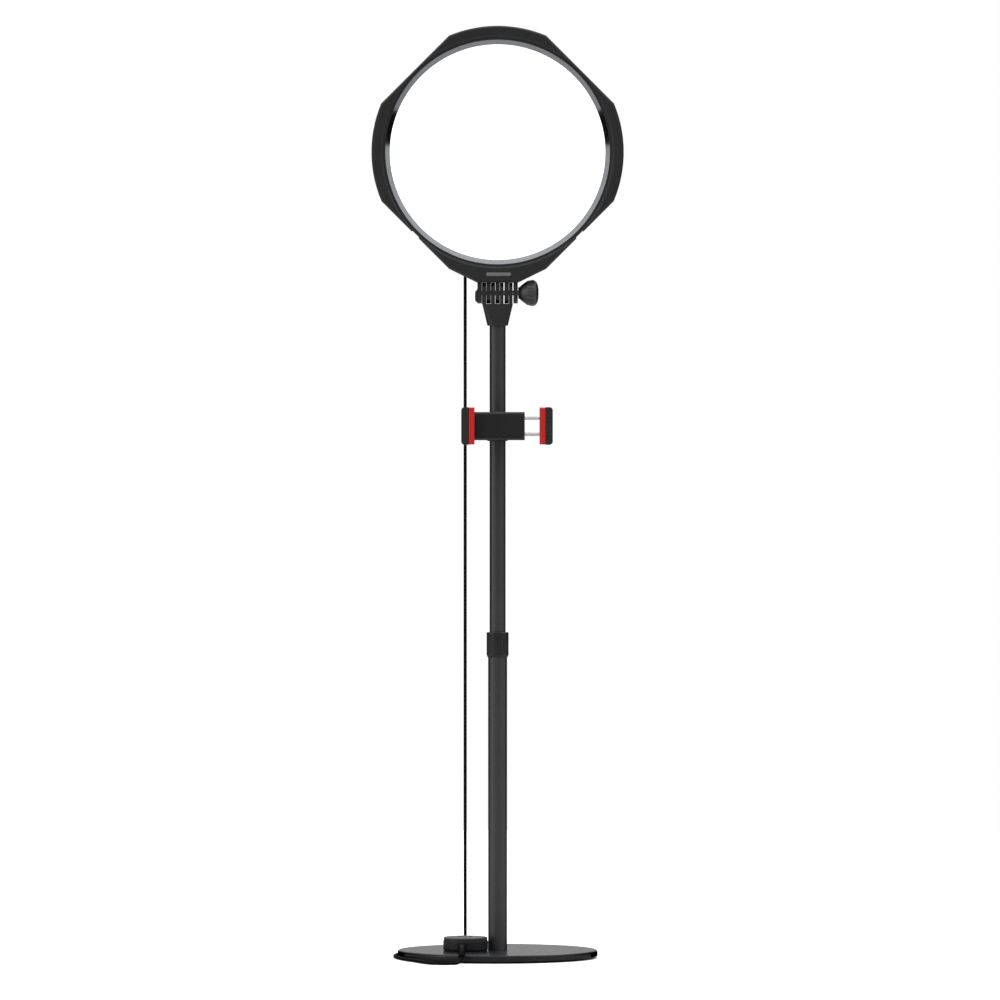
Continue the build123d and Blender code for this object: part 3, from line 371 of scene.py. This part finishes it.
BLACK = (0.0100, 0.0100, 0.0105)
LOOKS = {
    "powder_coated_steel": surface("powder_coated_steel", (0.010, 0.0105, 0.0115), 0.24, specular=0.18,
                                   grain=1500.0, depth=0.00002, edge=0.5, edge_radius=0.0008, painted_rim_shade=1.0),
    "powder_coated_tube": surface("powder_coated_tube", (0.0215, 0.0215, 0.0225), 0.42, grain=1700.0,
                                  depth=0.00004, edge=0.4, painted_rim_shade=0.85),
    "housing_plastic": surface("housing_plastic", BLACK, 0.50, grain=3200.0, specular=0.4, edge=0.06,
                               edge_radius=0.0006, painted_rim_shade=0.9),
    "black_nylon": surface("black_nylon", (0.0070, 0.0070, 0.0074), 0.46, grain=2600.0, specular=0.35, edge=0.25,
                           painted_rim_shade=0.75),
    "knob_plastic": surface("knob_plastic", (0.029, 0.029, 0.031), 0.42, grain=2600.0, edge=0.3, painted_rim_shade=0.85),
    "remote_plastic": surface("remote_plastic", (0.006, 0.006, 0.0065), 0.48, grain=3000.0, specular=0.3, edge=0.3),
    "remote_top_plastic": surface("remote_top_plastic", (0.030, 0.030, 0.032), 0.40, grain=3600.0, edge=0.4),
    "button_plastic": surface("button_plastic", (0.010, 0.010, 0.011), 0.38, grain=4000.0, edge=0.3),
    "foot_rubber": surface("foot_rubber", (0.008, 0.008, 0.008), 0.72, grain=1400.0, depth=0.00008, specular=0.3),
    "cable_rubber": surface("cable_rubber", (0.0022, 0.0022, 0.0023), 0.70, spread=0.05, grain=2400.0,
                            depth=0.00001, strength=0.05, specular=0.08, painted_rim_shade=0.7),
    "red_rubber": surface("red_rubber", (0.478, 0.0070, 0.0080), 0.52, spread=0.06, grain=2000.0, depth=0.00005,
                          specular=0.35, edge=0.25),
    "tie_fabric": woven("tie_fabric", (0.012, 0.012, 0.013)),
    "zinc_steel": metal("zinc_steel", (0.50, 0.50, 0.51), 0.30),
    "black_screw_steel": surface("black_screw_steel", (0.020, 0.020, 0.021), 0.34, metallic=0.6, grain=2600.0,
                                 edge=0.8, edge_radius=0.0002),
    "nickel_shell": metal("nickel_shell", (0.62, 0.61, 0.59), 0.16, scale=(1.0, 0.1, 1.0)),
    "trim_chrome": metal("trim_chrome", (0.218, 0.226, 0.234), 0.09, grain=500.0, strength=0.03),
    "opal_diffuser": lit_panel("opal_diffuser"),
    "clear_acrylic": surface("clear_acrylic", (0.86, 0.90, 0.92), 0.08, spread=0.02, grain=200.0, strength=0.05),
    "white_film": surface("white_film", (0.86, 0.86, 0.86), 0.35, spread=0.03, grain=900.0, strength=0.1),
    "led_flex": surface("led_flex", (0.80, 0.76, 0.52), 0.35, spread=0.1, grain=1200.0),
    "tray_aluminium": metal("tray_aluminium", (0.72, 0.72, 0.73), 0.28, scale=(0.05, 1.0, 1.0)),
    "circuit_board": surface("circuit_board", (0.018, 0.085, 0.035), 0.30, spread=0.25, grain=900.0, blotch=400.0),
    "mark_paint": surface("mark_paint", (0.13, 0.13, 0.134), 0.50, spread=0.05, grain=3000.0),
}


def dress(obj, look):
    obj.data.materials.clear()
    obj.data.materials.append(LOOKS[look])


slots = {entry["node"]: entry["material_slot"] for entry in frame["record"]["subparts"]}
for name, obj in nodes.items():
    dress(obj, slots[name])
for obj in (lead_upper, lead_lower, power_cable):
    dress(obj, "cable_rubber")


# ======== small pieces that the frame doesn't have ========

def pill_outline(half_width, half_height, steps=8):
    """Corners of a bar with round ends, about its middle."""
    outline = []
    for side in (1, -1):
        for i in range(steps + 1):
            angle = math.radians(-90 + 180 * i / steps)
            outline.append((side * (half_width - half_height + half_height * math.cos(angle)),
                            side * half_height * math.sin(angle)))
    return outline


def slab(bm, outline, origin, right, up, thick):
    """A flat plate of the outline, standing thick proud of the origin's plane."""
    out = right.cross(up)
    low = [bm.verts.new(origin + right * u + up * v - out * thick * 0.5) for u, v in outline]
    high = [bm.verts.new(origin + right * u + up * v + out * thick) for u, v in outline]
    count = len(outline)
    bm.faces.new(list(reversed(low)))
    bm.faces.new(high)
    for k in range(count):
        bm.faces.new((low[k], low[(k + 1) % count], high[(k + 1) % count], high[k]))


def arc_band(bm, radius, width, start, stop, origin, thick, steps=20):
    """A flat printed arc lying face up, between two angles in degrees."""
    angles = [math.radians(start + (stop - start) * i / steps) for i in range(steps + 1)]
    outline = [((radius + width / 2) * math.cos(a), (radius + width / 2) * math.sin(a)) for a in angles]
    outline += [((radius - width / 2) * math.cos(a), (radius - width / 2) * math.sin(a)) for a in reversed(angles)]
    slab(bm, outline, origin, RIGHT, BACK, thick)


PRINT = 0.04 * MM


def printed(name, body, build, look="mark_paint"):
    obj = mesh_piece(name, build, smooth=False)
    dress(obj, look)
    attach(obj, body)
    return obj


bezel_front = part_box("front_bezel")[0].y
printed("front_mark", "head",
        lambda bm: slab(bm, pill_outline(0.0125, 0.0017), Vector((0.001, bezel_front, 0.6829)), RIGHT, UP, PRINT * 2))

cap_low, cap_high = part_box("puck_cap")
PUCK = Vector(((cap_low.x + cap_high.x) / 2, (cap_low.y + cap_high.y) / 2, cap_high.z))
button_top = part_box("power_button")[1].z


def power_icon(bm):
    at = Vector((PUCK.x - 0.005, PUCK.y, button_top))
    arc_band(bm, 0.0011, 0.0003, 125, 415, at, PRINT)
    slab(bm, pill_outline(0.0008, 0.00016), at + BACK * 0.0009, BACK, -RIGHT, PRINT)


def mode_icon(bm):
    at = Vector((PUCK.x + 0.005, PUCK.y, button_top))
    arc_band(bm, 0.0007, 0.0003, 0, 180, at, PRINT)
    arc_band(bm, 0.0007, 0.0003, 180, 360, at, PRINT)
    for i in range(8):
        angle = math.radians(45 * i)
        out = Vector((math.cos(angle), math.sin(angle), 0))
        slab(bm, pill_outline(0.0003, 0.00012), at + out * 0.0014, out, UP.cross(out), PRINT)


def dial_scale(bm):
    for i in range(13):
        angle = math.radians(-60 + 25 * i)
        out = Vector((math.cos(angle), math.sin(angle), 0))
        slab(bm, pill_outline(0.0004 + 0.0001 * i, 0.00018), PUCK + out * 0.0172, out, UP.cross(out), PRINT)


printed("power_icon", "power_button", power_icon)
printed("mode_icon", "mode_button", mode_icon)
printed("dial_scale", "dial", dial_scale)


def tie_strap(bm):
    """A strap once round the coil's turns."""
    low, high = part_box("coil_tie")
    spin = math.radians(20)
    out = Vector((math.cos(spin), math.sin(spin), 0))
    along = Vector((-math.sin(spin), math.cos(spin), 0))
    centre = COIL_CENTRE + out * 0.017
    half, bottom, top = 0.0078, 0.0003, 0.0074
    path = []
    corners = [(-half, bottom), (half, bottom), (half, top), (-half, top)]
    turn = 0.0016
    for k, (u, v) in enumerate(corners):
        middle = (u + (turn if u < 0 else -turn), v + (turn if v < 0.004 else -turn))
        for i in range(5):
            angle = math.radians(180 + 90 * k + 22.5 * i)
            path.append((middle[0] + turn * math.cos(angle), middle[1] + turn * math.sin(angle)))
    path.append(path[0])
    thick = 0.00035
    line = [centre + out * u + UP * v for u, v in path]
    section = [(-thick, -0.0035), (thick, -0.0035), (thick * 1.3, 0.0), (thick, 0.0035), (-thick, 0.0035)]
    sweep(bm, line, section, along)


strap = mesh_piece("cable_tie", tie_strap)
dress(strap, "tie_fabric")
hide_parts("coil_tie")
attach(strap, "base")

# The springs shorten as the jaw opens; here they are a fixed copy of the frame's springs, put in place of the frame's
# own.
cad_springs = nodes["jaw_springs"]
springs = bpy.data.objects.new("grip_springs", cad_springs.data.copy())
springs.matrix_world = cad_springs.matrix_world
scene.collection.objects.link(springs)
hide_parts("jaw_springs")
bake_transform(springs)


# ======== stage and light ========

# Brightness of the surroundings by direction, from 0 in front of the object to 1 behind it.
WALLS = ((0.0, 0.22), (0.12, 0.30), (0.30, 1.25), (0.45, 1.0), (0.56, 0.03), (0.90, 0.03), (0.95, 0.55))
CEILING = 1.7
BELOW = 0.012
FLOOR_LIFT = 0.7
FLOOR_RADIUS = 2.86
FLOOR_CORNERS = 96
FLOOR_DROP = 0.0002


def soft_light(name, place, target, width, height, power, glossy=True):
    data = bpy.data.lights.new(name, "AREA")
    data.shape = "RECTANGLE"
    data.size = width
    data.size_y = height
    data.energy = power
    obj = bpy.data.objects.new(name, data)
    obj.location = place
    obj.rotation_euler = (Vector(target) - Vector(place)).to_track_quat("-Z", "Y").to_euler()
    obj.visible_camera = False
    obj.visible_glossy = glossy
    scene.collection.objects.link(obj)
    return obj


def studio():
    """White to the camera; to the object, soft grey walls above the horizon, dark flags at the sides and below."""
    world = bpy.data.worlds.new("studio")
    scene.world = world
    world.use_nodes = True
    tree = world.node_tree
    background = tree.nodes["Background"]
    ray = node(tree, "ShaderNodeTexCoord").outputs["Generated"]
    axes = node(tree, "ShaderNodeSeparateXYZ", {0: ray})
    x, y, z = axes.outputs
    around = maths(tree, "ARCTAN2", maths(tree, "ABSOLUTE", x), maths(tree, "MULTIPLY", y, -1.0))
    ramp = node(tree, "ShaderNodeValToRGB", {"Fac": maths(tree, "DIVIDE", around, math.pi)})
    for place, tone in WALLS:
        stop = ramp.color_ramp.elements[0] if place == WALLS[0][0] else ramp.color_ramp.elements.new(place)
        stop.position = place
        stop.color = (tone, tone, tone, 1.0)
    last = ramp.color_ramp.elements[len(ramp.color_ramp.elements) - 1]
    last.color = (WALLS[-1][1],) * 3 + (1.0,)
    risen = remap(tree, z, 0.25, 0.85)
    wall = mixed(tree, risen, ramp.outputs["Color"], (CEILING, CEILING, CEILING * 1.02, 1.0))
    above = remap(tree, z, -0.012, 0.004)
    seen = mixed(tree, above, (BELOW, BELOW, BELOW, 1.0), wall)
    to_camera = node(tree, "ShaderNodeLightPath").outputs["Is Camera Ray"]
    tree.links.new(mixed(tree, to_camera, seen, (1.0, 1.0, 1.0, 1.0)), background.inputs["Color"])
    background.inputs["Strength"].default_value = 1.0


studio()
soft_light("top_box", (0.0, -0.6, 3.0), (0, 0, 0.4), 2.0, 1.6, 34.0, glossy=False)
soft_light("left_strip", (-2.6, -1.0, 1.0), (0, 0, 0.5), 0.30, 2.0, 10.0)
soft_light("rear_box", (0.8, 2.4, 2.6), (0, 0, 0.6), 1.2, 1.0, 20.0)


def pale_floor():
    made = surface("pale_floor", (0.54, 0.54, 0.54), 0.80, spread=0.015, grain=300.0, strength=0.05, specular=0.1)
    tree = made.node_tree
    shader = tree.nodes["Principled BSDF"]
    shader.inputs["Emission Color"].default_value = (1.0, 1.0, 1.0, 1.0)
    to_camera = node(tree, "ShaderNodeLightPath").outputs["Is Camera Ray"]
    # Painted contact shadow: the floor's camera-only brightening fades out wherever something stands within 3 cm
    # above it.
    clear_of_painted_shadow = node(tree, "ShaderNodeAmbientOcclusion", {"Distance": 0.03}, samples=8).outputs["AO"]
    lift = maths(tree, "MULTIPLY", maths(tree, "MULTIPLY", to_camera, FLOOR_LIFT), clear_of_painted_shadow)
    tree.links.new(lift, shader.inputs["Emission Strength"])
    rim = round_section(FLOOR_RADIUS, FLOOR_CORNERS)
    floor = mesh_piece("floor", lambda bm: bm.faces.new([bm.verts.new((x, y, -FLOOR_DROP)) for x, y in rim]),
                       smooth=False)
    floor.data.materials.append(made)


pale_floor()
